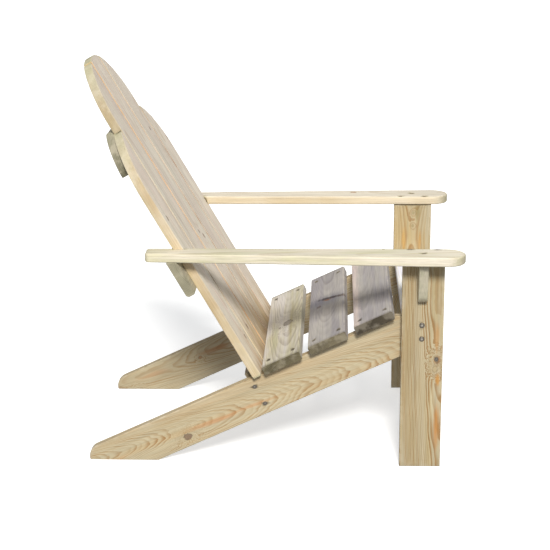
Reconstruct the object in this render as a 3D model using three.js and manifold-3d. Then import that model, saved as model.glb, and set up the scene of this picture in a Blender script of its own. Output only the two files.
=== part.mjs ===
// Adirondack chair in planed softwood: sloping seat, leaning slatted back with a half-round
// head, flat arms on brackets. Millimetres, +Z up, front of the chair towards -Y, the
// sitter's left towards +X. The origin is on the ground under the middle of the chair.
import * as THREE from 'three';
import { mergeVertices } from 'three/addons/utils/BufferGeometryUtils.js';
import Module from 'manifold-3d';

const wasm = await Module();
wasm.setup();

// Timber section
const BOARD_WIDTH = 95;
const BOARD_THICKNESS = 21;
const EASED_EDGE = 2;
const EDGE_STEPS = 3;
const MILLED_EDGE = 4;
const CROSSCUT_EDGE = 0.8;
const CLEARANCE = 0.3;

// Overall layout. Distances "back" are measured from the front edge of the front legs.
const LEG_FRONT_Y = -394.8;
const LEG_OUTER_X = 255;
const LEG_INNER_X = LEG_OUTER_X - BOARD_THICKNESS;
const RAIL_INNER_X = LEG_INNER_X - BOARD_THICKNESS;
const ARM_TOP = 526.5;
const ARM_UNDERSIDE = ARM_TOP - BOARD_THICKNESS;

// Stringers: sloping side rails that run down to the ground as rear feet
const SEAT_SLOPE = THREE.MathUtils.degToRad(25.1);
const STRINGER_TOP_AT_FRONT = 416.2;
const STRINGER_LEVEL_BACK = 110;
const FOOT_REAR_BACK = 828;
const FOOT_HEEL_RADIUS = 5;
const FOOT_TOP_RADIUS = 30;

// Seat slats
const SLAT_GAP = 21.5;
const FIRST_SLOPED_SLAT = 120.5;
const SLOPED_SLATS = 3;

// Back: leans from the ground line; heights "up the back" are measured along its face
const BACK_LEAN = THREE.MathUtils.degToRad(60.4);
const BACK_FOOT_BACK = 288.5;
const BACK_SLATS = 5;
const BACK_SLAT_GAP = 6.1;
const BACK_SLAT_BOTTOM = 180;
const OUTER_SLAT_SHOULDER = 258;
const HEAD_CENTRE_UP = 917.5;
const OUTER_ARC_RADIUS = 163;
const OUTER_ARC_CENTRE_UP = 749;

// Rails across the rear of the back
const LOWER_RAIL_BOTTOM = 173;
const MIDDLE_RAIL_BOTTOM = 511;
const MIDDLE_RAIL_HALF = 287;
const MIDDLE_RAIL_FRONT_ROUND = 4;
const MIDDLE_RAIL_REAR_ROUND = 8;
const PLANED_CORNER = 1;
const UPPER_RAIL_BOTTOM = 808;
const UPPER_RAIL_HALF = 212;
const UPPER_RAIL_ARC_RADIUS = 134;
const UPPER_RAIL_ARC_CENTRE = new THREE.Vector2(85, 777);

// Front rail between the legs
const FRONT_RAIL_SETBACK = 4;
const FRONT_RAIL_CENTRE_HEIGHT = 268;

// Arms
const ARM_INNER_X = 238;
const ARM_FRONT_HALF = 38;
const ARM_NOSE_LENGTH = 42;
const ARM_NOSE_BACK = -1;
const ARM_REAR_BACK = 671.5;
const ARM_REAR_WIDTH = 47;
const ARM_REAR_RADIUS = 10;
const NOTCH_INNER_X = 220;

// Brackets under the arms
const BRACKET_TOP_WIDTH = 38;
const BRACKET_FOOT_WIDTH = 13;
const BRACKET_CENTRE_BACK = 49;
const BRACKET_SCREW_OUT = 18.9;

// Fasteners
const SCREW = { head: 5, headDepth: 3.2, shank: 2.4, point: 7, sides: 12 };
const SEAT_SCREW_SUNK = 1;
const FLUSH_SCREW_SUNK = 0.4;
const BOLT = { head: 6.2, domeHeight: 3, shank: 3, end: 3, sides: 16 };
const NUT = { across: 10, height: 5, bore: 3.3 };
const SCREW_LENGTH = 50;
const END_SCREW_LENGTH = 56;
const SLAT_SCREW_SPREAD = 31.5;
const BOLT_HEIGHTS = [317.5, 350.5];
const LEG_SCREW_BACKS = [18, 79];
const END_SCREW_UPS = [14.5, 62.5];

const CURVE_STEPS = 12;

// Finishes
const PALE_PINE = { color: 0xd8cdb6, roughness: 0.72, metalness: 0 };
const TAN_PINE = { color: 0xbfa985, roughness: 0.72, metalness: 0 };
const GREY_PINE = { color: 0xb4afa9, roughness: 0.78, metalness: 0 };
const GREEN_PINE = { color: 0xc6c19f, roughness: 0.75, metalness: 0 };
const STEEL = { color: 0x8d8a84, roughness: 0.42, metalness: 0.9 };

const chair = new THREE.Group();

// ---- Solids -------------------------------------------------------------------------------

function toSolid(geometry) {
  const bare = new THREE.BufferGeometry();
  bare.setAttribute('position', geometry.getAttribute('position').clone());
  if (geometry.index) bare.setIndex(geometry.index.clone());
  const merged = mergeVertices(bare, 1e-4);
  const mesh = new wasm.Mesh({
    numProp: 3,
    vertProperties: new Float32Array(merged.attributes.position.array),
    triVerts: new Uint32Array(merged.index.array),
  });
  return new wasm.Manifold(mesh);
}

function toGeometry(solid) {
  const mesh = solid.getMesh();
  const geometry = new THREE.BufferGeometry();
  geometry.setAttribute('position', new THREE.BufferAttribute(mesh.vertProperties, 3));
  geometry.setIndex(new THREE.BufferAttribute(mesh.triVerts, 1));
  geometry.computeVertexNormals();
  return geometry;
}

function addMesh(parent, name, geometry, finish) {
  const mesh = new THREE.Mesh(geometry, new THREE.MeshStandardMaterial(finish));
  mesh.name = name;
  parent.add(mesh);
  return mesh;
}

// A board with rounded edges, lying on its local XY plane and rising along local Z.
function boardGeometry(outline, thickness, edge, edgeSteps, curveSteps) {
  const geometry = new THREE.ExtrudeGeometry(outline, {
    depth: thickness - 2 * edge,
    bevelEnabled: true,
    bevelThickness: edge,
    bevelSize: edge,
    bevelOffset: -edge,
    bevelSegments: edgeSteps,
    curveSegments: curveSteps,
  });
  geometry.translate(0, 0, edge);
  return geometry;
}

function addBoard(parent, name, outline, finish, base, edge = EASED_EDGE) {
  const geometry = boardGeometry(outline, BOARD_THICKNESS, edge, EDGE_STEPS, CURVE_STEPS);
  const board = addMesh(parent, name, geometry, finish);
  board.position.z = base;
  return board;
}

// A board milled to a section and crosscut square, lying across the chair and centred on it.
// The section's X runs along the parent's Y and its Y along the parent's Z.
function addMilledBoard(parent, name, section, finish, half) {
  const across = new THREE.Group();
  across.rotation.set(Math.PI / 2, Math.PI / 2, 0);
  parent.add(across);
  const geometry = boardGeometry(section, 2 * half, CROSSCUT_EDGE, 1, EDGE_STEPS);
  const board = addMesh(across, name, geometry, finish);
  board.position.z = -half;
  return board;
}

function rectangle(x0, y0, x1, y1) {
  const shape = new THREE.Shape();
  shape.moveTo(x0, y0);
  shape.lineTo(x1, y0);
  shape.lineTo(x1, y1);
  shape.lineTo(x0, y1);
  shape.closePath();
  return shape;
}

function polygon(points) {
  return new THREE.Shape(points.map(([x, y]) => new THREE.Vector2(x, y)));
}

// A polygon, listed anticlockwise, whose corners [x, y, radius] are rounded.
function roundedPolygon(corners) {
  const shape = new THREE.Shape();
  corners.forEach(([x, y, radius], index) => {
    const corner = new THREE.Vector2(x, y);
    const before = new THREE.Vector2(...corners.at(index - 1));
    const after = new THREE.Vector2(...corners[(index + 1) % corners.length]);
    const toBefore = before.sub(corner).normalize();
    const toAfter = after.sub(corner).normalize();
    const half = Math.acos(toBefore.dot(toAfter)) / 2;
    const middle = toBefore.clone().add(toAfter).setLength(radius / Math.sin(half)).add(corner);
    const turn = Math.PI / 2 - half;
    const inward = corner.clone().sub(middle).angle();
    shape.absarc(middle.x, middle.y, radius, inward - turn, inward + turn, false);
  });
  shape.closePath();
  return shape;
}

// Section of a board with milled long edges, its lower front corner at (start, base).
function milledSection(start, base) {
  const end = start + BOARD_WIDTH;
  const top = base + BOARD_THICKNESS;
  return roundedPolygon([
    [start, base, MILLED_EDGE],
    [end, base, MILLED_EDGE],
    [end, top, MILLED_EDGE],
    [start, top, MILLED_EDGE],
  ]);
}

// The group's local X runs back from the legs' front edge, Y is height and Z is the chair's X.
function addSideFrame() {
  const group = new THREE.Group();
  group.position.y = LEG_FRONT_Y;
  group.rotation.set(Math.PI / 2, Math.PI / 2, 0);
  chair.add(group);
  return group;
}

// The group's local X is the chair's X, Y is height and Z runs forward from the legs' edge.
function addCrossFrame() {
  const group = new THREE.Group();
  group.position.y = LEG_FRONT_Y;
  group.rotation.x = Math.PI / 2;
  chair.add(group);
  return group;
}

// The group's local Y runs down the stringers' top edges and Z stands square on them.
function addSeatFrame() {
  const group = new THREE.Group();
  group.position.set(0, LEG_FRONT_Y, STRINGER_TOP_AT_FRONT);
  group.rotation.x = -SEAT_SLOPE;
  chair.add(group);
  return group;
}

// The group's local Y runs up the front face of the back and Z stands square on it, forward.
function addBackFrame() {
  const group = new THREE.Group();
  group.position.set(0, LEG_FRONT_Y + BACK_FOOT_BACK, 0);
  group.rotation.x = BACK_LEAN;
  chair.add(group);
  return group;
}

// The group's local Y runs back from the legs' front edge and Z is height.
function addPlanFrame() {
  const group = new THREE.Group();
  group.position.y = LEG_FRONT_Y;
  chair.add(group);
  return group;
}

const sideFrame = addSideFrame();
const crossFrame = addCrossFrame();
const seatFrame = addSeatFrame();
const backFrame = addBackFrame();
const planFrame = addPlanFrame();

const SIDES = [
  { label: 'right', sign: -1 },
  { label: 'left', sign: 1 },
];

// The lower of the two faces, along the chair's X, of a board that spans from |inner| outwards.
function boardBase(sign, inner) {
  return sign > 0 ? inner : -inner - BOARD_THICKNESS;
}

// Height of the stringers' lower edge line at a distance back from the legs' front edge.
function stringerUnderside(back) {
  const edgeToEdge = BOARD_WIDTH / Math.cos(SEAT_SLOPE);
  return STRINGER_TOP_AT_FRONT - edgeToEdge - back * Math.tan(SEAT_SLOPE);
}

function stringerTop(back) {
  return STRINGER_TOP_AT_FRONT - back * Math.tan(SEAT_SLOPE);
}

// Distance back of a plane that lies depth behind the back's front face, at a given height.
function backPlane(height, depth) {
  return BACK_FOOT_BACK + height / Math.tan(BACK_LEAN) + depth / Math.sin(BACK_LEAN);
}

// ---- Side frames --------------------------------------------------------------------------

function addFrontLeg({ label, sign }) {
  const outline = rectangle(0, 0, BOARD_WIDTH, ARM_UNDERSIDE - CLEARANCE);
  const base = boardBase(sign, LEG_INNER_X);
  return addBoard(sideFrame, `front_leg_${label}`, outline, TAN_PINE, base);
}

function stringerOutline() {
  const front = FRONT_RAIL_SETBACK + BOARD_THICKNESS + CLEARANCE;
  const levelTop = stringerTop(STRINGER_LEVEL_BACK);
  const heel = (STRINGER_TOP_AT_FRONT - BOARD_WIDTH / Math.cos(SEAT_SLOPE)) / Math.tan(SEAT_SLOPE);
  const cornerAngle = Math.PI / 2 + SEAT_SLOPE;
  const tangent = FOOT_TOP_RADIUS / Math.tan(cornerAngle / 2);
  const cornerHeight = stringerTop(FOOT_REAR_BACK);
  const arcCentre = new THREE.Vector2(FOOT_REAR_BACK - FOOT_TOP_RADIUS, cornerHeight - tangent);
  const shape = new THREE.Shape();
  shape.moveTo(front, stringerUnderside(front));
  shape.lineTo(heel, 0);
  shape.lineTo(FOOT_REAR_BACK - FOOT_HEEL_RADIUS, 0);
  shape.absarc(FOOT_REAR_BACK - FOOT_HEEL_RADIUS, FOOT_HEEL_RADIUS, FOOT_HEEL_RADIUS,
    -Math.PI / 2, 0, false);
  shape.absarc(arcCentre.x, arcCentre.y, FOOT_TOP_RADIUS, 0, Math.PI / 2 - SEAT_SLOPE, false);
  shape.lineTo(STRINGER_LEVEL_BACK, levelTop);
  shape.lineTo(front, levelTop);
  shape.closePath();
  return shape;
}

function addStringer({ label, sign }) {
  const base = boardBase(sign, RAIL_INNER_X);
  return addBoard(sideFrame, `stringer_${label}`, stringerOutline(), TAN_PINE,
    base - sign * CLEARANCE);
}

function addBracket({ label, sign }) {
  const inner = sign * (LEG_OUTER_X + CLEARANCE);
  const top = ARM_UNDERSIDE - CLEARANCE;
  const foot = top - BOARD_WIDTH;
  const outline = polygon([
    [inner, top],
    [inner + sign * BRACKET_TOP_WIDTH, top],
    [inner + sign * BRACKET_FOOT_WIDTH, foot],
    [inner, foot],
  ]);
  const base = -BRACKET_CENTRE_BACK - BOARD_THICKNESS / 2;
  return addBoard(crossFrame, `arm_bracket_${label}`, outline, GREEN_PINE, base);
}

function addFrontRail() {
  const half = LEG_INNER_X - CLEARANCE;
  const bottom = FRONT_RAIL_CENTRE_HEIGHT - BOARD_WIDTH / 2;
  const outline = rectangle(-half, bottom, half, bottom + BOARD_WIDTH);
  const base = -FRONT_RAIL_SETBACK - BOARD_THICKNESS;
  return addBoard(crossFrame, 'front_rail', outline, TAN_PINE, base);
}

// ---- Seat ---------------------------------------------------------------------------------

const FRONT_SLAT_BASE = stringerTop(STRINGER_LEVEL_BACK) + CLEARANCE;

function addFrontSeatSlat() {
  const section = milledSection(0, FRONT_SLAT_BASE);
  return addMilledBoard(planFrame, 'seat_slat_1', section, PALE_PINE, LEG_INNER_X - CLEARANCE);
}

function slopedSlatStart(index) {
  return FIRST_SLOPED_SLAT + index * (BOARD_WIDTH + SLAT_GAP);
}

function addSlopedSeatSlat(index) {
  const section = milledSection(slopedSlatStart(index), CLEARANCE);
  return addMilledBoard(seatFrame, `seat_slat_${index + 2}`, section, GREY_PINE, LEG_OUTER_X);
}

// ---- Back ---------------------------------------------------------------------------------

const BACK_PITCH = BOARD_WIDTH + BACK_SLAT_GAP;
const HEAD_RADIUS = 1.5 * BOARD_WIDTH + BACK_SLAT_GAP;

// Slats under the half-round head: straight sides, top cut to the head's circle.
function headSlatOutline(centre) {
  const low = centre - BOARD_WIDTH / 2;
  const high = centre + BOARD_WIDTH / 2;
  const clamp = (x) => THREE.MathUtils.clamp(x / HEAD_RADIUS, -1, 1);
  const shape = new THREE.Shape();
  shape.moveTo(low, BACK_SLAT_BOTTOM);
  shape.lineTo(high, BACK_SLAT_BOTTOM);
  shape.absarc(0, HEAD_CENTRE_UP, HEAD_RADIUS, Math.acos(clamp(high)), Math.acos(clamp(low)), false);
  shape.closePath();
  return shape;
}

// Outer slats: a rounded outer corner at the top, and at the foot a shoulder that stands on the
// stringer while a tongue goes down inside it to the lower rail.
function outerSlatOutline(sign) {
  const inner = 2 * BACK_PITCH - BOARD_WIDTH / 2;
  const outer = inner + BOARD_WIDTH;
  const tongue = RAIL_INNER_X - 2 * CLEARANCE;
  const arcCentre = outer - OUTER_ARC_RADIUS;
  const end = Math.acos((inner - arcCentre) / OUTER_ARC_RADIUS);
  const shape = new THREE.Shape();
  shape.moveTo(sign * inner, BACK_SLAT_BOTTOM);
  shape.lineTo(sign * tongue, BACK_SLAT_BOTTOM);
  shape.lineTo(sign * tongue, OUTER_SLAT_SHOULDER);
  shape.lineTo(sign * outer, OUTER_SLAT_SHOULDER);
  if (sign > 0) {
    shape.absarc(arcCentre, OUTER_ARC_CENTRE_UP, OUTER_ARC_RADIUS, 0, end, false);
  } else {
    shape.absarc(-arcCentre, OUTER_ARC_CENTRE_UP, OUTER_ARC_RADIUS, Math.PI, Math.PI - end, true);
  }
  shape.closePath();
  return shape;
}

function addBackSlat(index) {
  const place = index - (BACK_SLATS - 1) / 2;
  const isOuter = Math.abs(place) === 2;
  const outline = isOuter ? outerSlatOutline(Math.sign(place)) : headSlatOutline(place * BACK_PITCH);
  return addBoard(backFrame, `back_slat_${index + 1}`, outline, PALE_PINE, -BOARD_THICKNESS);
}

const RAIL_BASE = -2 * BOARD_THICKNESS - CLEARANCE;

function addLowerRail() {
  const half = RAIL_INNER_X - 2 * CLEARANCE;
  const outline = rectangle(-half, LOWER_RAIL_BOTTOM, half, LOWER_RAIL_BOTTOM + BOARD_WIDTH);
  return addBoard(backFrame, 'back_rail_lower', outline, TAN_PINE, RAIL_BASE);
}

// The middle rail's top edge is planed level, so that the arms lie flat on it.
function addMiddleRail() {
  const near = BOARD_THICKNESS + CLEARANCE;
  const far = near + BOARD_THICKNESS;
  const top = ARM_UNDERSIDE - CLEARANCE;
  const bottomPoint = (depth) => {
    const height = MIDDLE_RAIL_BOTTOM * Math.sin(BACK_LEAN) - depth * Math.cos(BACK_LEAN);
    return [backPlane(height, depth), height];
  };
  const section = roundedPolygon([
    [...bottomPoint(near), MIDDLE_RAIL_FRONT_ROUND],
    [...bottomPoint(far), MIDDLE_RAIL_REAR_ROUND],
    [backPlane(top, far), top, PLANED_CORNER],
    [backPlane(top, near), top, PLANED_CORNER],
  ]);
  return addMilledBoard(planFrame, 'back_rail_middle', section, GREEN_PINE, MIDDLE_RAIL_HALF);
}

function addUpperRail() {
  const top = UPPER_RAIL_BOTTOM + BOARD_WIDTH;
  const centre = UPPER_RAIL_ARC_CENTRE;
  const low = Math.acos((UPPER_RAIL_HALF - centre.x) / UPPER_RAIL_ARC_RADIUS);
  const high = Math.asin((top - centre.y) / UPPER_RAIL_ARC_RADIUS);
  const shape = new THREE.Shape();
  shape.moveTo(-UPPER_RAIL_HALF, UPPER_RAIL_BOTTOM);
  shape.lineTo(UPPER_RAIL_HALF, UPPER_RAIL_BOTTOM);
  shape.absarc(centre.x, centre.y, UPPER_RAIL_ARC_RADIUS, low, high, false);
  shape.absarc(-centre.x, centre.y, UPPER_RAIL_ARC_RADIUS, Math.PI - high, Math.PI - low, false);
  shape.closePath();
  return addBoard(backFrame, 'back_rail_upper', shape, GREEN_PINE, RAIL_BASE);
}

// ---- Arms ---------------------------------------------------------------------------------

// Straight inner edge, flared outer edge and round nose.
function armOutline(sign) {
  const noseCentre = ARM_INNER_X + ARM_FRONT_HALF;
  const frontOuter = noseCentre + ARM_FRONT_HALF;
  const rearOuter = ARM_INNER_X + ARM_REAR_WIDTH;
  const cutBack = ARM_REAR_BACK - ARM_REAR_RADIUS;
  const flare = (frontOuter - rearOuter) / (ARM_REAR_BACK - ARM_NOSE_BACK);
  const outerAtCut = rearOuter + flare * ARM_REAR_RADIUS;
  const shape = new THREE.Shape();
  shape.moveTo(sign * ARM_INNER_X, ARM_NOSE_BACK);
  if (sign > 0) {
    shape.absellipse(noseCentre, ARM_NOSE_BACK, ARM_FRONT_HALF, ARM_NOSE_LENGTH,
      Math.PI, 2 * Math.PI, false, 0);
  } else {
    shape.absellipse(-noseCentre, ARM_NOSE_BACK, ARM_FRONT_HALF, ARM_NOSE_LENGTH,
      0, -Math.PI, true, 0);
  }
  shape.lineTo(sign * outerAtCut, cutBack);
  shape.quadraticCurveTo(sign * rearOuter, ARM_REAR_BACK,
    sign * (rearOuter - ARM_REAR_RADIUS), ARM_REAR_BACK);
  shape.lineTo(sign * (ARM_INNER_X + ARM_REAR_RADIUS), ARM_REAR_BACK);
  shape.quadraticCurveTo(sign * ARM_INNER_X, ARM_REAR_BACK, sign * ARM_INNER_X, cutBack);
  shape.closePath();
  return shape;
}

function addArm({ label, sign }) {
  return addBoard(planFrame, `arm_${label}`, armOutline(sign), PALE_PINE, ARM_UNDERSIDE,
    MILLED_EDGE);
}

// What is cut out of the boards: for each fastener or notch, its shape in its own axes.
const cutters = new Map();

// The notch in an arm's inner edge leans with the outer back slat that passes through it.
function addArmNotch({ sign }) {
  const outer = 2 * BACK_PITCH + BOARD_WIDTH / 2 + CLEARANCE;
  const width = outer - NOTCH_INNER_X;
  const depth = BOARD_THICKNESS + 2 * CLEARANCE;
  const notch = new THREE.Group();
  notch.position.set(sign * (NOTCH_INNER_X + width / 2), ARM_TOP / Math.sin(BACK_LEAN),
    -BOARD_THICKNESS / 2);
  backFrame.add(notch);
  cutters.set(notch, new THREE.BoxGeometry(width, BOARD_WIDTH, depth));
  return notch;
}

// ---- Fasteners ----------------------------------------------------------------------------

function lathe(profile, sides) {
  return new THREE.LatheGeometry(profile.map(([r, y]) => new THREE.Vector2(r, y)), sides);
}

// Countersunk wood screw, head at the origin and point towards -Y.
function screwProfile(length) {
  return [
    [0, -length],
    [SCREW.shank, -length + SCREW.point],
    [SCREW.shank, -SCREW.headDepth],
    [SCREW.head, 0],
    [0, 0],
  ];
}

// The screw's bore, a little wider all round, which opens above the head.
function screwBoreProfile(length) {
  const opening = 2 * SEAT_SCREW_SUNK;
  return [
    [0, -length - CLEARANCE],
    [SCREW.shank + CLEARANCE, -length + SCREW.point],
    [SCREW.shank + CLEARANCE, -SCREW.headDepth - CLEARANCE],
    [SCREW.head + CLEARANCE, 0],
    [SCREW.head + CLEARANCE, opening],
    [0, opening],
  ];
}

// Dome-headed bolt, the dome's seat at the origin and the shank towards -Y.
function boltProfile(length) {
  return [
    [0, -length],
    [BOLT.shank, -length],
    [BOLT.shank, 0],
    [BOLT.head, 0],
    [BOLT.head * 0.94, BOLT.domeHeight * 0.45],
    [BOLT.head * 0.62, BOLT.domeHeight * 0.85],
    [0, BOLT.domeHeight],
  ];
}

function boltBoreProfile(length) {
  const radius = BOLT.shank + CLEARANCE;
  const top = BOLT.domeHeight;
  return [[0, -length], [radius, -length], [radius, top], [0, top]];
}

// direction is where the fastener points, in the parent's own axes.
function addFastener(parent, name, position, direction, shapeOf, boreOf, sides) {
  const fastener = addMesh(parent, name, lathe(shapeOf, sides), STEEL);
  fastener.position.copy(position);
  fastener.quaternion.setFromUnitVectors(new THREE.Vector3(0, -1, 0), direction);
  cutters.set(fastener, lathe(boreOf, sides));
  return fastener;
}

function addScrew(parent, name, position, direction, length, sunk = FLUSH_SCREW_SUNK) {
  const seated = position.clone().addScaledVector(direction, sunk);
  return addFastener(parent, name, seated, direction, screwProfile(length),
    screwBoreProfile(length), SCREW.sides);
}

function addNut(name, position) {
  const outline = new THREE.Shape();
  for (let corner = 0; corner < 6; corner += 1) {
    const angle = (corner * Math.PI) / 3;
    const reach = NUT.across / 2 / Math.cos(Math.PI / 6);
    outline[corner ? 'lineTo' : 'moveTo'](reach * Math.cos(angle), reach * Math.sin(angle));
  }
  outline.closePath();
  const hole = new THREE.Path();
  hole.absarc(0, 0, NUT.bore, 0, 2 * Math.PI, true);
  outline.holes.push(hole);
  const geometry = new THREE.ExtrudeGeometry(outline, {
    depth: NUT.height,
    bevelEnabled: false,
    curveSegments: CURVE_STEPS,
  });
  const nut = addMesh(sideFrame, name, geometry, STEEL);
  nut.position.copy(position);
  return nut;
}

// Cuts fasteners' bores and notches out of a board, all taken to the board's own axes.
function cut(board, pieces) {
  const toBoard = board.matrixWorld.clone().invert();
  let solid = toSolid(board.geometry);
  for (const piece of pieces) {
    const cutter = cutters.get(piece).clone();
    cutter.applyMatrix4(toBoard.clone().multiply(piece.matrixWorld));
    solid = solid.subtract(toSolid(cutter));
  }
  board.geometry = toGeometry(solid);
}

// ---- Assembly -----------------------------------------------------------------------------

const frontRail = addFrontRail();
const lowerRail = addLowerRail();
const seatSlats = [addFrontSeatSlat()];
for (let index = 0; index < SLOPED_SLATS; index += 1) {
  seatSlats.push(addSlopedSeatSlat(index));
}
for (let index = 0; index < BACK_SLATS; index += 1) {
  addBackSlat(index);
}
addMiddleRail();
addUpperRail();

const seatScrews = seatSlats.map(() => []);
const frontRailScrews = [];
const lowerRailScrews = [];
const cuts = [];

for (const side of SIDES) {
  const { label, sign } = side;
  const leg = addFrontLeg(side);
  const stringer = addStringer(side);
  const bracket = addBracket(side);
  const arm = addArm(side);
  const notch = addArmNotch(side);
  const inward = new THREE.Vector3(0, 0, -sign);
  const down = new THREE.Vector3(0, 0, -1);
  const legCentre = sign * (LEG_INNER_X + BOARD_THICKNESS / 2);
  const railCentre = sign * (RAIL_INNER_X + BOARD_THICKNESS / 2);

  const bolts = BOLT_HEIGHTS.map((height, index) => {
    const length = 2 * BOARD_THICKNESS + NUT.height + BOLT.end;
    const head = new THREE.Vector3(BRACKET_CENTRE_BACK, height, sign * (LEG_OUTER_X + CLEARANCE));
    return addFastener(sideFrame, `leg_bolt_${label}_${index + 1}`, head, inward,
      boltProfile(length), boltBoreProfile(length + BOLT.end), BOLT.sides);
  });
  BOLT_HEIGHTS.forEach((height, index) => {
    const face = RAIL_INNER_X - 2 * CLEARANCE;
    const base = sign > 0 ? face - NUT.height : -face;
    addNut(`leg_nut_${label}_${index + 1}`, new THREE.Vector3(BRACKET_CENTRE_BACK, height, base));
  });

  const railBack = FRONT_RAIL_SETBACK + BOARD_THICKNESS / 2;
  const railScrew = addScrew(sideFrame, `front_rail_screw_${label}`,
    new THREE.Vector3(railBack, FRONT_RAIL_CENTRE_HEIGHT, sign * LEG_OUTER_X), inward,
    END_SCREW_LENGTH);
  frontRailScrews.push(railScrew);

  const backInward = new THREE.Vector3(-sign, 0, 0);
  const endScrews = END_SCREW_UPS.map((up, index) => {
    const depth = -1.5 * BOARD_THICKNESS - CLEARANCE;
    const head = new THREE.Vector3(sign * (LEG_INNER_X - CLEARANCE), LOWER_RAIL_BOTTOM + up, depth);
    return addScrew(backFrame, `lower_rail_screw_${label}_${index + 1}`, head, backInward,
      END_SCREW_LENGTH);
  });
  lowerRailScrews.push(...endScrews);

  const slatScrews = [];
  seatSlats.forEach((slat, slatIndex) => {
    const isLevel = slatIndex === 0;
    const start = isLevel ? 0 : slopedSlatStart(slatIndex - 1);
    const frame = isLevel ? planFrame : seatFrame;
    const top = (isLevel ? FRONT_SLAT_BASE : CLEARANCE) + BOARD_THICKNESS;
    [-SLAT_SCREW_SPREAD, SLAT_SCREW_SPREAD].forEach((offset, index) => {
      const head = new THREE.Vector3(railCentre, start + BOARD_WIDTH / 2 + offset, top);
      const name = `seat_screw_${slatIndex + 1}_${label}_${index + 1}`;
      const screw = addScrew(frame, name, head, down, SCREW_LENGTH, SEAT_SCREW_SUNK);
      slatScrews.push(screw);
      seatScrews[slatIndex].push(screw);
    });
  });

  const legScrews = LEG_SCREW_BACKS.map((back, index) => addScrew(planFrame,
    `arm_screw_${label}_${index + 1}`, new THREE.Vector3(legCentre, back, ARM_TOP), down,
    SCREW_LENGTH));
  const bracketX = sign * (LEG_OUTER_X + BRACKET_SCREW_OUT);
  const bracketScrew = addScrew(planFrame, `arm_screw_${label}_3`,
    new THREE.Vector3(bracketX, BRACKET_CENTRE_BACK, ARM_TOP), down, SCREW_LENGTH);

  cuts.push([leg, [...bolts, railScrew, ...legScrews]]);
  cuts.push([stringer, [...bolts, ...endScrews, ...slatScrews]]);
  cuts.push([bracket, [bracketScrew]]);
  cuts.push([arm, [notch, ...legScrews, bracketScrew]]);
}

cuts.push([frontRail, frontRailScrews]);
cuts.push([lowerRail, lowerRailScrews]);
seatSlats.forEach((slat, index) => cuts.push([slat, seatScrews[index]]));

chair.updateMatrixWorld(true);
for (const [board, pieces] of cuts) {
  cut(board, pieces);
}

export default chair;
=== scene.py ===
# Adirondack chair in planed softwood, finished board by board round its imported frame.
# Metres, +Z up, the chair's front towards -Y and the sitter's left towards +X.
import math
import random
from dataclasses import dataclass

import bmesh
import bpy
from bpy.props import FloatProperty, FloatVectorProperty, IntProperty, PointerProperty
from mathutils import Matrix, Vector, noise


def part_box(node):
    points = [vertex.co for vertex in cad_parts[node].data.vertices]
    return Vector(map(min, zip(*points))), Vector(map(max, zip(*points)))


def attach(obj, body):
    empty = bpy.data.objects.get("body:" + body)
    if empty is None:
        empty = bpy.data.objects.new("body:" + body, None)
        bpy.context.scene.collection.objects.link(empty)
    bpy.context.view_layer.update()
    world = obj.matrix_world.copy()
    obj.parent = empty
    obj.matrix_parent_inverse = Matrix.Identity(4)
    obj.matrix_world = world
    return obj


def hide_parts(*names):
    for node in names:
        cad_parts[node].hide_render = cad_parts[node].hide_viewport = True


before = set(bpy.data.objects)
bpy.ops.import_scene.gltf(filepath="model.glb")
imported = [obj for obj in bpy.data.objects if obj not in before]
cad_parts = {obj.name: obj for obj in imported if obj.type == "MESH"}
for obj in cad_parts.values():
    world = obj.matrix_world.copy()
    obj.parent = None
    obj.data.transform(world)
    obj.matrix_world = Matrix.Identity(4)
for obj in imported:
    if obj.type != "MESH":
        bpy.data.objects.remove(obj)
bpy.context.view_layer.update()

bl_info = {
    "name": "Adirondack Chair",
    "version": (1, 0, 0),
    "blender": (4, 5, 0),
    "location": "3D View > Sidebar > Chair",
    "description": "Finishes the boards and fasteners of a planed softwood garden chair",
    "category": "Object",
}

FRONT = Vector((0, -1, 0))
REAR = Vector((0, 1, 0))
UP = Vector((0, 0, 1))
SITTERS_RIGHT = Vector((-1, 0, 0))
SITTERS_LEFT = Vector((1, 0, 0))
SIDES = ("right", "left")


def linear(colour):
    """Linear red, green and blue of a colour written as 0xRRGGBB."""
    parts = [((colour >> shift) & 0xFF) / 255 for shift in (16, 8, 0)]
    return tuple(p / 12.92 if p <= 0.04045 else ((p + 0.055) / 1.055) ** 2.4 for p in parts)


def colour_choice(name, description, colour):
    """A colour that a user can change, given as 0xRRGGBB."""
    return FloatVectorProperty(
        name=name, description=description, subtype="COLOR", size=3, min=0, max=1,
        default=linear(colour),
    )


def length_choice(name, description, length, least=0.0):
    """A length in metres that a user can change."""
    return FloatProperty(
        name=name, description=description, default=length, min=least, unit="LENGTH"
    )


def angle_choice(name, description, degrees):
    """An angle that a user can change, given in degrees."""
    turn = math.radians(degrees)
    return FloatProperty(name=name, description=description, default=turn, subtype="ANGLE")


def strength_choice(name, description, strength):
    """A strength of light that a user can change."""
    return FloatProperty(name=name, description=description, default=strength, min=0)


# ---- Settings


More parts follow.
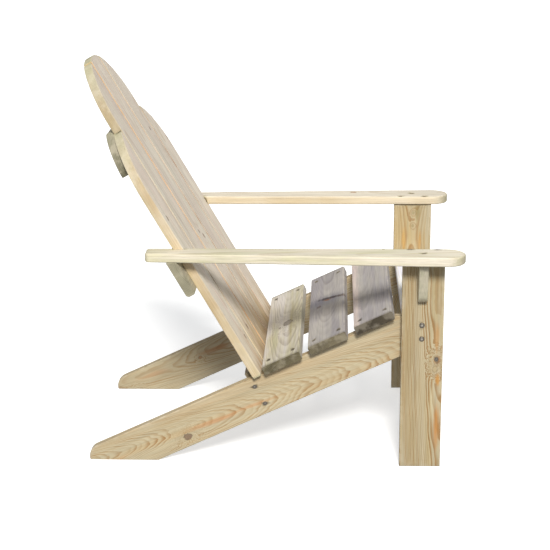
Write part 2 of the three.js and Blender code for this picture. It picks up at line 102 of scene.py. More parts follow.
class ChairTimberSettings(bpy.types.PropertyGroup):
    """Colours and surface of the boards."""

    pale_early: colour_choice("Pale Earlywood", "Soft part of the rings, pale boards", 0xEAE1D0)
    pale_late: colour_choice("Pale Latewood", "Hard part of the rings, pale boards", 0xCEBC9E)
    tan_early: colour_choice("Tan Earlywood", "Soft part of the rings, tan boards", 0xBFB293)
    tan_late: colour_choice("Tan Latewood", "Hard part of the rings, tan boards", 0x9F7F56)
    grey_early: colour_choice("Grey Earlywood", "Soft part of the rings, grey boards", 0xB9B4AE)
    grey_late: colour_choice("Grey Latewood", "Hard part of the rings, grey boards", 0x9B938E)
    green_early: colour_choice("Green Earlywood", "Soft part of the rings, tinted rails", 0xC4BFA5)
    green_late: colour_choice("Green Latewood", "Hard part of the rings, tinted rails", 0xA8A17C)
    ring_width: length_choice("Ring Width", "Distance between two growth rings", 0.0036, 0.001)
    relief: length_choice("Grain Relief", "Height of the hard part of a ring", 0.0004)
    cut_step: length_choice("Surface Step", "Width of the strips of a surface", 0.012, 0.004)
    edge_wear: length_choice("Edge Wear", "Depth of the knocks along a board's edges", 0.0005)
    unevenness: length_choice("Unevenness", "How far a planed face strays from flat", 0.00012)


class ChairHardwareSettings(bpy.types.PropertyGroup):
    """Colours and details of the screws, bolts and nuts."""

    # Steel colours: the middle ones are lighter as a painted highlight, the rim ones darker as
    # painted shade round each head.
    steel_colour: colour_choice("Plated Steel", "Middle of the screws, bolts and nuts", 0xB4AFA4)
    rim_shade_colour: colour_choice("Shaded Rim", "Rim of the screws' and bolts' heads", 0x6B655D)
    arm_steel_colour: colour_choice("Pale Steel", "Screws through the arms", 0xD2C8B4)
    arm_rim_colour: colour_choice("Pale Rim", "Rim of the screws through the arms", 0xB09F88)
    drive_width: length_choice("Drive Width", "Width of a cross recess's slots", 0.0013, 0.0004)
    thread_pitch: length_choice("Thread Pitch", "Height of one turn of a bolt", 0.001, 0.0004)
    sides: IntProperty(name="Sides", description="Sides of a turned piece", default=32, min=12)


class ChairStudioSettings(bpy.types.PropertyGroup):
    """Floor, light and camera."""

    floor_colour: colour_choice("Floor", "Plain pale floor", 0xF6F6F6)
    floor_size: length_choice("Floor Size", "Length of a side of the floor", 60.0)
    floor_glow: strength_choice("Floor Glow", "Light that the floor gives of its own", 0.56)
    key_strength: strength_choice("Key Strength", "Strength of the main light", 3.45)
    key_height: angle_choice("Key Height", "Angle of the main light above the floor", 39)
    key_turn: angle_choice("Key Turn", "Angle of the main light from the right to the front", 6)
    key_softness: angle_choice("Key Softness", "Apparent width of the main light", 14)
    fill_strength: strength_choice("Fill Strength", "Strength of the light from all round", 0.33)
    camera_place: FloatVectorProperty(
        name="Camera Place", description="Where the camera stands", subtype="TRANSLATION",
        unit="LENGTH", size=3, default=(-3.24206, -0.14895, 1.40306),
    )
    camera_turn: angle_choice("Camera Turn", "Angle of the view from square towards the rear", 2.60)
    camera_dip: angle_choice("Camera Dip", "Angle of the view below level", 17.35)
    camera_roll: angle_choice("Camera Roll", "Tilt of the camera about its view", -0.58)
    camera_lens: FloatProperty(
        name="Lens", description="Focal length for a sensor 36 mm wide", default=91.02, min=1,
        unit="CAMERA",
    )


class ChairSettings(bpy.types.PropertyGroup):
    """All the chair's settings."""

    timber: PointerProperty(type=ChairTimberSettings)
    hardware: PointerProperty(type=ChairHardwareSettings)
    studio: PointerProperty(type=ChairStudioSettings)


# ---- Shader helpers

NUMBER = "NodeSocketFloat"
VECTOR = "NodeSocketVector"
COLOUR = "NodeSocketColor"
NOISE_SPAN = (0.3, 0.7)


class Recipe:
    """Adds nodes to one node tree and joins them. An input is a socket or a plain value."""

    def __init__(self, tree):
        self.tree = tree

    def node(self, kind, **settings):
        made = self.tree.nodes.new(kind)
        for name, value in settings.items():
            setattr(made, name, value)
        return made

    def feed(self, socket, value):
        if isinstance(value, bpy.types.NodeSocket):
            self.tree.links.new(value, socket)
        elif value is not None:
            if socket.type == "RGBA" and len(value) == 3:
                value = (*value, 1)
            socket.default_value = value

    def stored(self, name, output="Fac"):
        """A value that the mesh stores for each vertex."""
        return self.node("ShaderNodeAttribute", attribute_name=name).outputs[output]

    def math(self, operation, first, second=None, clamp=False):
        made = self.node("ShaderNodeMath", operation=operation, use_clamp=clamp)
        for socket, value in zip(made.inputs, (first, second)):
            self.feed(socket, value)
        return made.outputs[0]

    def plus(self, first, second):
        return self.math("ADD", first, second)

    def minus(self, first, second):
        return self.math("SUBTRACT", first, second)

    def times(self, first, second, clamp=False):
        return self.math("MULTIPLY", first, second, clamp=clamp)

    def vector(self, operation, first, second=None):
        made = self.node("ShaderNodeVectorMath", operation=operation)
        self.feed(made.inputs[0], first)
        self.feed(made.inputs[1], second)
        scalar = operation in ("LENGTH", "DOT_PRODUCT", "DISTANCE")
        return made.outputs["Value" if scalar else "Vector"]

    def scaled(self, vector, factor):
        made = self.node("ShaderNodeVectorMath", operation="SCALE")
        self.feed(made.inputs[0], vector)
        self.feed(made.inputs["Scale"], factor)
        return made.outputs[0]

    def split(self, vector):
        made = self.node("ShaderNodeSeparateXYZ")
        self.feed(made.inputs[0], vector)
        return made.outputs

    def join(self, x, y, z):
        made = self.node("ShaderNodeCombineXYZ")
        for socket, value in zip(made.inputs, (x, y, z)):
            self.feed(socket, value)
        return made.outputs[0]

    def ramp(self, value, low, high, start=0.0, end=1.0):
        """start below low, end above high, and a smooth rise between."""
        made = self.node("ShaderNodeMapRange", interpolation_type="SMOOTHSTEP")
        for socket, given in zip(made.inputs, (value, low, high, start, end)):
            self.feed(socket, given)
        return made.outputs[0]

    def fall(self, value, low, high):
        """1 below low, 0 above high."""
        return self.ramp(value, low, high, 1.0, 0.0)

    def vary(self, value, start, end):
        """start to end over the span that most of a noise lies in."""
        return self.ramp(value, *NOISE_SPAN, start, end)

    def blend(self, share, first, second, how="MIX"):
        made = self.node("ShaderNodeMix", data_type="RGBA", blend_type=how)
        self.feed(made.inputs["Factor"], share)
        self.feed(made.inputs[6], first)
        self.feed(made.inputs[7], second)
        return made.outputs[2]

    def grainy(self, place, scale, detail=2.0, roughness=0.5):
        """Noise from 0 to 1, stretched by a scale for each direction of the board."""
        made = self.node("ShaderNodeTexNoise", noise_dimensions="3D")
        self.feed(made.inputs["Vector"], self.vector("MULTIPLY", place, scale))
        made.inputs["Scale"].default_value = 1.0
        made.inputs["Detail"].default_value = detail
        made.inputs["Roughness"].default_value = roughness
        return made.outputs["Fac"]

    def group(self, tree, **values):
        made = self.node("ShaderNodeGroup", node_tree=tree)
        for name, value in values.items():
            self.feed(made.inputs[name.replace("_", " ")], value)
        return made.outputs


def new_group(name, inputs, outputs):
    """An empty node group, with its recipe and the sockets inside it, named by kind."""
    tree = bpy.data.node_groups.new(name, "ShaderNodeTree")
    for way, kinds in (("INPUT", inputs), ("OUTPUT", outputs)):
        for kind, labels in kinds.items():
            for label in labels.split(", "):
                tree.interface.new_socket(label, in_out=way, socket_type=kind)
    recipe = Recipe(tree)
    given = recipe.node("NodeGroupInput").outputs
    result = recipe.node("NodeGroupOutput").inputs
    return tree, recipe, given, result


PLANER_PITCH = 0.0042
KNOT_RING = 0.0011
BARK_COLOUR = (0.07, 0.045, 0.03)
END_LATE_COLOUR = (0.055, 0.045, 0.026)
WORN_COLOUR = (0.72, 0.64, 0.5)
GRIME_COLOUR = (0.07, 0.06, 0.05)
KNOT_COLOUR = 0x7A5238


def knot_group():
    """A branch through the board: how it bends the rings, its heart and its bark."""
    name = "Knot"
    if name in bpy.data.node_groups:
        return bpy.data.node_groups[name]
    tree, r, given, result = new_group(
        name, {VECTOR: "Place, Centre, Branch", NUMBER: "Radius"},
        {NUMBER: "Bulge, Heart, Bark, Rings"},
    )
    radius = given["Radius"]
    offset = r.vector("SUBTRACT", given["Place"], given["Centre"])
    ragged = r.grainy(given["Place"], (160, 160, 160))
    branch = r.vector("NORMALIZE", given["Branch"])
    along = r.vector("DOT_PRODUCT", offset, branch)
    side = r.vector("SUBTRACT", offset, r.scaled(branch, along))
    distance = r.vector("LENGTH", r.vector("MULTIPLY", side, (0.72, 1, 1)))
    distance = r.times(distance, r.ramp(ragged, 0.25, 0.75, 0.82, 1.2))
    near = r.math("DIVIDE", distance, radius)
    spread = r.math("POWER", r.times(near, 0.42), 2.0)
    fade = r.math("EXPONENT", r.times(spread, -1.0))
    r.feed(result["Bulge"], r.times(fade, radius))
    r.feed(result["Heart"], r.fall(near, 0.8, 1.05))
    rim = r.math("ABSOLUTE", r.minus(near, 1.0))
    r.feed(result["Bark"], r.fall(rim, 0.05, 0.24))
    r.feed(result["Rings"], r.math("PINGPONG", distance, KNOT_RING))
    return tree


def smear_group():
    """A long soft patch on a board's face: 1 in its middle, 0 past its ragged edge."""
    name = "Smear"
    if name in bpy.data.node_groups:
        return bpy.data.node_groups[name]
    tree, r, given, result = new_group(
        name, {VECTOR: "Place, Centre, Long Way, Short Way"}, {NUMBER: "Share"},
    )
    offset = r.vector("SUBTRACT", given["Place"], given["Centre"])
    long_way = r.vector("DOT_PRODUCT", offset, given["Long Way"])
    short_way = r.vector("DOT_PRODUCT", offset, given["Short Way"])
    reach = r.vector("LENGTH", r.join(long_way, short_way, 0.0))
    ragged = r.minus(r.grainy(given["Place"], (20, 160, 160), detail=3), 0.5)
    reach = r.plus(reach, r.times(ragged, 0.9))
    r.feed(result["Share"], r.fall(reach, 0.2, 1.0))
    return tree


def softwood_group():
    """Planed softwood cut from one log: rings round a tilted pith, fibres, stain and ends."""
    name = "Planed Softwood"
    if name in bpy.data.node_groups:
        return bpy.data.node_groups[name]
    tree, r, given, result = new_group(
        name,
        {
            VECTOR: "Place",
            NUMBER: "Pith Across, Pith Depth, Tilt Across, Tilt Depth, Bow, Ring Width, Wander, "
            "Contrast, Seed, Bulge, Heart, Bark, Knot Rings, End Face, Edge, Side Face, "
            "Stain Share, End Rings",
            COLOUR: "Earlywood, Latewood, Stain, Knot Colour, End Colour, Side Colour",
        },
        {COLOUR: "Colour", NUMBER: "Roughness, Height"},
    )
    shift = r.join(given["Seed"], r.times(given["Seed"], 0.37), given["Seed"])
    place = r.vector("ADD", given["Place"], shift)
    along, across, depth = r.split(given["Place"])

    wander_a = r.minus(r.grainy(place, (3.1, 5, 5)), 0.5)
    wander_b = r.minus(r.grainy(place, (6.7, 19, 19)), 0.5)
    wander_c = r.minus(r.grainy(place, (16, 70, 70)), 0.5)
    waver = r.plus(wander_a, r.times(wander_b, 0.22))
    waver = r.plus(waver, r.times(wander_c, 0.16))
    waver = r.times(waver, given["Wander"])
    log_across = r.minus(across, given["Pith Across"])
    log_across = r.minus(log_across, r.times(along, given["Tilt Across"]))
    log_depth = r.minus(depth, given["Pith Depth"])
    log_depth = r.minus(log_depth, r.times(along, given["Tilt Depth"]))
    bowed = r.times(r.times(along, along), given["Bow"])
    log_depth = r.minus(log_depth, bowed)
    radius = r.vector("LENGTH", r.join(0.0, log_across, log_depth))
    radius = r.plus(radius, waver)
    radius = r.plus(radius, given["Bulge"])

    uneven = r.grainy(r.join(radius, given["Seed"], 0.0), (75, 1, 1), detail=1)
    phase = r.math("DIVIDE", radius, given["Ring Width"])
    phase = r.plus(phase, r.times(uneven, 1.3))
    ring = r.math("FRACT", phase)
    late = r.times(r.ramp(ring, 0.25, 0.88), r.fall(ring, 0.93, 1.0))
    chance = r.node("ShaderNodeTexWhiteNoise", noise_dimensions="1D")
    r.feed(chance.inputs["W"], r.plus(r.math("FLOOR", phase), given["Seed"]))
    year = r.ramp(chance.outputs["Value"], 0.0, 1.0, 0.35, 1.15)
    late = r.times(late, year)
    fibre = r.grainy(place, (17, 950, 950), detail=3, roughness=0.6)
    fine = r.grainy(place, (8, 360, 360), detail=3, roughness=0.6)
    streak = r.grainy(place, (2.4, 85, 85), detail=3, roughness=0.55)
    patch = r.grainy(place, (4.5, 16, 16), detail=3, roughness=0.55)
    cloud = r.grainy(place, (1.6, 7, 7))

    share = r.times(late, given["Contrast"])
    share = r.times(share, r.vary(streak, 0.55, 1.15), clamp=True)
    colour = r.blend(share, given["Earlywood"], given["Latewood"])
    side_share = r.times(given["Side Face"], r.ramp(patch, 0.25, 0.75, 0.55, 1.0))
    side_colour = r.blend(r.times(share, 0.4), given["Side Colour"], given["Latewood"])
    colour = r.blend(side_share, colour, side_colour)
    blotch = r.plus(r.times(patch, 0.5), r.times(streak, 0.5))
    stained = r.times(r.ramp(blotch, 0.4, 0.62), given["Stain Share"])
    colour = r.blend(stained, colour, given["Stain"], how="MULTIPLY")
    tone = r.plus(r.vary(cloud, 0.93, 1.06), r.vary(fibre, -0.045, 0.045))
    tone = r.plus(tone, r.vary(streak, -0.05, 0.05))
    tone = r.plus(tone, r.vary(fine, -0.09, 0.09))
    colour = r.scaled(colour, tone)

    knot_ring = r.ramp(given["Knot Rings"], 0.0, KNOT_RING, 0.0, 0.45)
    heart = r.blend(knot_ring, given["Knot Colour"], given["Latewood"])
    colour = r.blend(r.times(given["Heart"], 0.85), colour, heart)
    colour = r.blend(given["Bark"], colour, BARK_COLOUR)

    end_late = r.times(late, given["End Rings"])
    end = r.blend(end_late, given["End Colour"], END_LATE_COLOUR)
    pores = r.vary(r.grainy(place, (30, 420, 420), detail=3), 0.93, 1.07)
    bands = r.ramp(r.grainy(place, (4, 24, 24), detail=1), 0.35, 0.65, 0.84, 1.16)
    end = r.scaled(end, r.times(pores, bands))
    colour = r.blend(given["End Face"], colour, end)
    scuffed = r.ramp(r.grainy(place, (40, 40, 40), detail=3), 0.45, 0.62)
    worn = r.times(given["Edge"], scuffed)
    colour = r.blend(r.times(worn, 0.35), colour, WORN_COLOUR)
    r.feed(result["Colour"], colour)

    rough = r.plus(r.ramp(fibre, 0.25, 0.75, 0.6, 0.78), r.times(late, -0.08))
    r.feed(result["Roughness"], r.plus(rough, r.times(given["End Face"], 0.14)))
    height = r.times(late, 0.5)
    height = r.plus(height, r.times(fibre, 0.5))
    height = r.minus(height, r.times(given["Bark"], 0.8))
    planer = r.math("SINE", r.times(along, 2 * math.pi / PLANER_PITCH))
    height = r.plus(height, r.times(planer, 0.05))
    r.feed(result["Height"], height)
    return tree


@dataclass(frozen=True)
class Knot:
    """A branch in a board: where it is from the board's middle, its size, way and colours.
    swell is how far it pushes the growth rings aside."""

    along: float
    across: float
    radius: float
    branch: tuple = (0.12, 0.2, 1.0)
    heart: int = KNOT_COLOUR
    bark: float = 0.35
    swell: float = 1.9


@dataclass(frozen=True)
class Smear:
    """A long patch of another colour on a board's face, turned from the grain by an angle."""

    along: float
    across: float
    length: float
    width: float
    colour: int
    share: float = 0.6
    turn: float = 0.0


@dataclass(frozen=True)
class Figure:
    """How a board was cut from its log, and how its surface has turned."""

    pith: tuple = (0.0, -0.06)
    tilt: tuple = (0.0, 0.03)
    bow: float = 0.0
    rings: float = 1.0
    wander: float = 0.009
    contrast: float = 0.8
    tone: float = 1.0
    stain: int = 0xE4DCEC
    stain_share: float = 0.5
    side: int = 0xCDB27C
    side_share: float = 0.0
    end: int = 0x80735A
    end_rings: float = 0.6
    knots: tuple = ()
    smears: tuple = ()


def toned(colour, tone):
    return tuple(min(1.0, part * tone) for part in colour)


def blank_material(name):
    """An empty material and its recipe."""
    material = bpy.data.materials.new(name)
    material.use_nodes = True
    material.node_tree.nodes.clear()
    return material, Recipe(material.node_tree)


def finish_surface(r, colour, roughness, height, relief, strength=1.0, **shader_values):
    """Ends a material's recipe: one shader over a bumped surface."""
    shader = r.node("ShaderNodeBsdfPrincipled")
    for name, value in shader_values.items():
        shader.inputs[name.replace("_", " ")].default_value = value
    bump = r.node("ShaderNodeBump")
    bump.inputs["Strength"].default_value = strength
    bump.inputs["Distance"].default_value = relief
    r.feed(bump.inputs["Height"], height)
    r.feed(shader.inputs["Base Color"], colour)
    r.feed(shader.inputs["Roughness"], roughness)
    r.feed(shader.inputs["Normal"], bump.outputs[0])
    output = r.node("ShaderNodeOutputMaterial")
    r.feed(output.inputs["Surface"], shader.outputs[0])


def wood_material(name, slot, figure, seed, timber):
    """The board's own finish: the shared softwood group fed with this board's figure."""
    material, r = blank_material(name)
    place = r.stored("board_place", "Vector")
    bulge, heart, bark, rings = 0.0, 0.0, 0.0, 0.0
    knot_colour = linear(KNOT_COLOUR)
    for knot in figure.knots:
        found = r.group(
            knot_group(), Place=place, Centre=(knot.along, knot.across, 0.0), Branch=knot.branch,
            Radius=knot.radius,
        )
        bulge = r.plus(r.times(found["Bulge"], knot.swell), bulge)
        heart = r.math("MAXIMUM", found["Heart"], heart)
        bark = r.math("MAXIMUM", r.times(found["Bark"], knot.bark), bark)
        rings = r.plus(found["Rings"], rings)
        knot_colour = r.blend(found["Heart"], knot_colour, linear(knot.heart))

    finish = slot.split("_")[0]
    early = toned(getattr(timber, f"{finish}_early"), figure.tone)
    late = toned(getattr(timber, f"{finish}_late"), figure.tone)
    for smear in figure.smears:
        way = Vector((math.cos(smear.turn), math.sin(smear.turn), 0))
        found = r.group(
            smear_group(), Place=place, Centre=(smear.along, smear.across, 0.0),
            Long_Way=way / smear.length, Short_Way=Vector((-way.y, way.x, 0)) / smear.width,
        )
        share = r.times(found["Share"], smear.share)
        early = r.blend(share, early, linear(smear.colour))
        late = r.blend(r.times(share, 0.8), late, linear(smear.colour))

    wood = r.group(
        softwood_group(), Place=place, Pith_Across=figure.pith[0], Pith_Depth=figure.pith[1],
        Tilt_Across=figure.tilt[0], Tilt_Depth=figure.tilt[1], Bow=figure.bow,
        Ring_Width=timber.ring_width * figure.rings, Wander=figure.wander,
        Contrast=figure.contrast, Seed=seed, Bulge=bulge, Heart=heart, Bark=bark,
        Knot_Rings=rings, End_Face=r.stored("end_face"), Edge=r.stored("edge"),
        Side_Face=r.times(r.stored("side_face"), figure.side_share), Earlywood=early,
        Latewood=late, Stain=linear(figure.stain), Stain_Share=figure.stain_share,
        Knot_Colour=knot_colour, End_Colour=linear(figure.end), End_Rings=figure.end_rings,
        Side_Colour=linear(figure.side),
    )
    finish_surface(
        r, wood["Colour"], wood["Roughness"], wood["Height"], timber.relief,
        Specular_IOR_Level=0.3,
    )
    return material


def steel_material(name, middle, edge):
    """Dull zinc-plated steel with random dirt, a painted highlight in the middle of a head and
    painted shade round its rim.
    """
    if name in bpy.data.materials:
        return bpy.data.materials[name]
    material, r = blank_material(name)
    place = r.node("ShaderNodeTexCoord").outputs["Object"]
    crystal = r.node("ShaderNodeTexVoronoi", feature="F1")
    r.feed(crystal.inputs["Vector"], place)
    crystal.inputs["Scale"].default_value = 900.0
    grime = r.grainy(place, (420, 420, 420), detail=3)
    # Painted highlight and shade: lighter in a head's middle, darker towards its rim, by the stored
    # rim share.
    base = r.blend(r.ramp(r.stored("rim"), 0.2, 0.5), middle, edge)
    colour = r.blend(r.ramp(crystal.outputs["Distance"], 0.1, 0.8, 0.0, 0.5), base, edge)
    colour = r.blend(r.ramp(grime, 0.5, 0.68, 0.0, 0.6), colour, GRIME_COLOUR)
    roughness = r.vary(grime, 0.42, 0.65)
    finish_surface(r, colour, roughness, grime, 0.00008, strength=0.6, Metallic=0.7)
    return material


# ---- Boards

WELD = 1e-5
FLAT_WITHIN = math.radians(0.5)
SQUARE_ON = 0.985
IN_PLANE = 0.01
SHARP_WOOD = math.radians(42)
SHARP_STEEL = math.radians(35)
SEED_SPAN = 97
SEED_STEP = 0.731
STRAY_SCALE = 9
KNOCK_SCALE = 46
KNOCK_ONSET = 0.12
KNOCK_GAIN = 1.6
END_FADE = 1.5
SIDE_FADE = 2


def to_mesh(bm, name):
    """Turns a worked surface into a mesh."""
    mesh = bpy.data.meshes.new(name)
    bm.to_mesh(mesh)
    bm.free()
    return mesh


def new_object(name, data):
    """An object in the scene's own collection."""
    made = bpy.data.objects.new(name, data)
    bpy.context.scene.collection.objects.link(made)
    return made


def show(mesh, name, sharp):
    """Puts a mesh in the scene, shaded smooth but for its sharp edges."""
    mesh.polygons.foreach_set("use_smooth", [True] * len(mesh.polygons))
    mesh.set_sharp_from_angle(angle=sharp)
    return new_object(name, mesh)


def clean_board(node):
    """A board of the frame as a surface to work on, with each flat face in one piece."""
    bm = bmesh.new()
    bm.from_mesh(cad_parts[node].data)
    bmesh.ops.remove_doubles(bm, verts=bm.verts[:], dist=WELD)
    bmesh.ops.dissolve_limit(bm, angle_limit=FLAT_WITHIN, verts=bm.verts[:], edges=bm.edges[:])
    return bm


def widest_face(mesh, facing):
    """Normal of the flat side of greatest area that looks roughly the given way."""
    areas = {}
    for face in mesh.polygons:
        if face.normal.dot(facing) > 0.5:
            key = tuple(round(part, 2) for part in face.normal)
            area, total = areas.get(key, (0.0, Vector((0, 0, 0))))
            areas[key] = (area + face.area, total + face.normal * face.area)
    return max(areas.values(), key=lambda found: found[0])[1].normalized()


def longest_edge(bm, out):
    """Direction of the longest straight edge in the plane of the board, upwards."""
    best = Vector((0, 0, 0))
    for edge in bm.edges:
        line = edge.verts[1].co - edge.verts[0].co
        if line.length > best.length and abs(line.normalized().dot(out)) < IN_PLANE:
            best = line
    return best.normalized() * (1 if best.z > 0 else -1)


def straightened(node, out, grain):
    """Direction of the grain in the plane of the board, or else of its longest edge."""
    if grain is not None:
        return (grain - out * grain.dot(out)).normalized()
    bm = clean_board(node)
    line = longest_edge(bm, out)
    bm.free()
    return line


def board_frame(node, facing, grain):
    """The board's own axes at its middle: along the grain, across it, out of its seen face."""
    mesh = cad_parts[node].data
    out = widest_face(mesh, facing)
    along = straightened(node, out, grain)
    across = along.cross(out)
    turn = Matrix((along, across, out)).transposed()
    places = [turn.transposed() @ vert.co for vert in mesh.vertices]
    middle = Vector([(min(p[i] for p in places) + max(p[i] for p in places)) / 2 for i in range(3)])
    return Matrix.Translation(turn @ middle) @ turn.to_4x4()


def slice_board(bm, step):
    """Divides the board's surface into strips across its length and along it."""
    reach = [max(abs(vert.co[axis]) for vert in bm.verts) for axis in range(3)]
    for axis in range(2):
        count = max(2, round(2 * reach[axis] / step))
        for index in range(1, count):
            place = Vector((0, 0, 0))
            place[axis] = -reach[axis] + 2 * reach[axis] * index / count
            normal = Vector((0, 0, 0))
            normal[axis] = 1
            everything = bm.verts[:] + bm.edges[:] + bm.faces[:]
            bmesh.ops.bisect_plane(
                bm, geom=everything, plane_co=place, plane_no=normal, dist=1e-6
            )


def edge_share(vert):
    """1 on the rounded edges, where no neighbouring face is square to the board's axes."""
    square = [max(abs(part) for part in face.normal) > SQUARE_ON for face in vert.link_faces]
    return 0.0 if all(square) else (1.0 if not any(square) else 0.5)


def weather_board(bm, timber, seed):
    """Lets planed faces stray from flat and knocks the edges in, never outwards."""
    reach = [max(abs(vert.co[axis]) for vert in bm.verts) for axis in range(3)]
    moves = {}
    for vert in bm.verts:
        dent = edge_share(vert)
        where = vert.co * STRAY_SCALE + Vector((seed, seed * 0.7, 0))
        stray = 0.5 + 0.5 * noise.noise(where)
        knock = noise.noise(vert.co * KNOCK_SCALE + Vector((0, seed, seed)))
        knock = max(0.0, knock - KNOCK_ONSET) * KNOCK_GAIN
        depth = timber.unevenness * stray + timber.edge_wear * dent * knock
        moves[vert] = vert.normal * -depth
    for vert, move in moves.items():
        moved = vert.co + move
        vert.co = [max(-most, min(most, part)) for part, most in zip(moved, reach)]


def add_attributes(mesh, places, ends, edges, sides):
    """Stores where each vertex lies in its board, for the wood's pattern."""
    place = mesh.attributes.new("board_place", "FLOAT_VECTOR", "POINT")
    place.data.foreach_set("vector", [part for vector in places for part in vector])
    for name, values in (("end_face", ends), ("edge", edges), ("side_face", sides)):
        made = mesh.attributes.new(name, "FLOAT", "POINT")
        made.data.foreach_set("value", values)


def finish_board(node, slot, facing, grain, figure):
    """Copies a board of the frame, works its surface and gives it its own wood."""
    timber = bpy.context.scene.chair.timber
    seed = sum(ord(letter) * (index + 3) for index, letter in enumerate(node))
    seed = seed % SEED_SPAN * SEED_STEP
    to_row = board_frame(node, facing, grain)
    bm = clean_board(node)
    bm.transform(to_row.inverted())
    bmesh.ops.recalc_face_normals(bm, faces=bm.faces[:])
    slice_board(bm, timber.cut_step)
    bm.normal_update()
    places = [vert.co.copy() for vert in bm.verts]
    ends, sides = [], []
    for vert in bm.verts:
        facings = [face.normal for face in vert.link_faces]
        ends.append(max((abs(n.x) for n in facings), default=0) ** END_FADE)
        sides.append(max((abs(n.y) for n in facings), default=0) ** SIDE_FADE)
    edges = [edge_share(vert) for vert in bm.verts]
    weather_board(bm, timber, seed)
    bm.transform(to_row)
    mesh = to_mesh(bm, node + "_timber")
    add_attributes(mesh, places, ends, edges, sides)
    board = show(mesh, node + "_timber", SHARP_WOOD)
    soften = board.modifiers.new("Even Shading", "WEIGHTED_NORMAL")
    soften.keep_sharp = True
    mesh.materials.append(wood_material(node + "_wood", slot, figure, seed, timber))
    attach(board, "root")
    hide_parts(node)


# ---- Turned pieces

SCREW_PITCH = 0.0022
SHANK_SHARE = 0.45
DRIVE_SHARE = 0.6
DRIVE_DEPTH = 0.0022
BOLT_SHANK = 0.003
NUT_BORE = 0.00315
NUT_CHAMFER = 0.1
NUT_STEPS = 24


def turn_profile(profile, sides):
    """A closed turned solid about Z from (radius, height) points, both ends on the axis."""
    bm = bmesh.new()
    rings = []
    for radius, height in profile:
        if radius == 0:
            rings.append([bm.verts.new((0, 0, height))])
            continue
        turn = [2 * math.pi * side / sides for side in range(sides)]
        rings.append(
            [bm.verts.new((radius * math.cos(a), radius * math.sin(a), height)) for a in turn]
        )
    for lower, upper in zip(rings, rings[1:]):
        for side in range(sides):
            after = (side + 1) % sides
            corners = [
                lower[side % len(lower)], lower[after % len(lower)], upper[after % len(upper)],
                upper[side % len(upper)],
            ]
            bm.faces.new(list(dict.fromkeys(corners)))
    bmesh.ops.recalc_face_normals(bm, faces=bm.faces[:])
    return bm


def cut_away(bm, cutter, name):
    """Takes one closed solid from another."""
    mesh = to_mesh(bm, name)
    tool_mesh = to_mesh(cutter, name + "_tool")
    body = new_object(name, mesh)
    tool = new_object(name + "_tool", tool_mesh)
    cut = body.modifiers.new("Cut", "BOOLEAN")
    cut.operation = "DIFFERENCE"
    cut.solver = "EXACT"
    cut.use_self = True
    cut.object = tool
    shown = body.evaluated_get(bpy.context.evaluated_depsgraph_get())
    result = bpy.data.meshes.new_from_object(shown)
    if not result.polygons:
        raise RuntimeError(f"nothing is left of {name} after its cut")
    for made in (body, tool):
        bpy.data.objects.remove(made)
    for spare in (mesh, tool_mesh):
        bpy.data.meshes.remove(spare)
    return result


def cross_cutter(radius, width, depth):
    """A cross recess's solid: two tapered bars that cross at the top of a screw."""
    bm = bmesh.new()
    for turn in (0, math.pi / 2):
        corners = []
        for share, height in ((1.0, 0.0004), (0.45, -depth)):
            for x, y in ((-1, -1), (1, -1), (1, 1), (-1, 1)):
                spot = Vector((x * radius * share, y * width / 2, height))
                corners.append(bm.verts.new(Matrix.Rotation(turn, 3, "Z") @ spot))
        top, bottom = corners[:4], corners[4:]
        bm.faces.new(top)
        bm.faces.new(bottom[::-1])
        for side in range(4):
            after = (side + 1) % 4
            bm.faces.new((top[side], bottom[side], bottom[after], top[after]))
    bmesh.ops.recalc_face_normals(bm, faces=bm.faces[:])
    return bm


def screw_profile(radius, length, shank, pitch):
    """Countersunk wood screw with a threaded lower part, the head's face at zero."""
    neck = radius * 0.66
    profile = [(0, -length), (shank * 0.35, -length + shank * 1.6)]
    thread_top = -length * 0.34
    height = -length + shank * 3.2
    while height + pitch < thread_top:
        profile.append((shank * 0.72, height))
        profile.append((shank, height + pitch * 0.3))
        profile.append((shank * 0.72, height + pitch * 0.6))
        height += pitch
    profile += [
        (shank * 0.8, thread_top), (shank * 0.8, -neck * 0.95), (radius * 0.94, -0.0004),
        (radius, -0.00015), (radius * 0.97, 0), (radius * 0.5, 0), (0, 0),
    ]
    return profile


def bolt_profile(radius, dome, length, shank, pitch):
    """Dome-headed bolt with a threaded end, the dome's seat at zero."""
    profile = [(0, -length), (shank * 0.8, -length)]
    height = -length
    while height < -length * 0.72:
        profile.append((shank * 0.86, height + pitch * 0.2))
        profile.append((shank, height + pitch * 0.6))
        height += pitch
    profile += [(shank, height + pitch), (shank, 0), (radius * 0.97, 0), (radius, dome * 0.08)]
    steps = 8
    for step in range(1, steps):
        angle = math.pi / 2 * step / steps
        profile.append((radius * math.cos(angle), dome * (0.08 + 0.92 * math.sin(angle))))
    profile.append((0, dome))
    return profile


def fastener_place(node, pointing):
    """Middle of the head's outer face, with +Z out of it, from the frame's own solid."""
    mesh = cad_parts[node].data
    out = -pointing.normalized()
    heights = [vert.co.dot(out) for vert in mesh.vertices]
    top = max(heights)
    spots = [vert.co for vert in mesh.vertices]
    flat = [spot - out * spot.dot(out) for spot in spots]
    low = Vector([min(spot[i] for spot in flat) for i in range(3)])
    high = Vector([max(spot[i] for spot in flat) for i in range(3)])
    middle = (low + high) / 2
    middle -= out * middle.dot(out)
    turn = out.to_track_quat("Z", "X").to_matrix().to_4x4()
    reach = max((spot - middle).length for spot in flat)
    return Matrix.Translation(middle + out * top) @ turn, reach, top - min(heights)


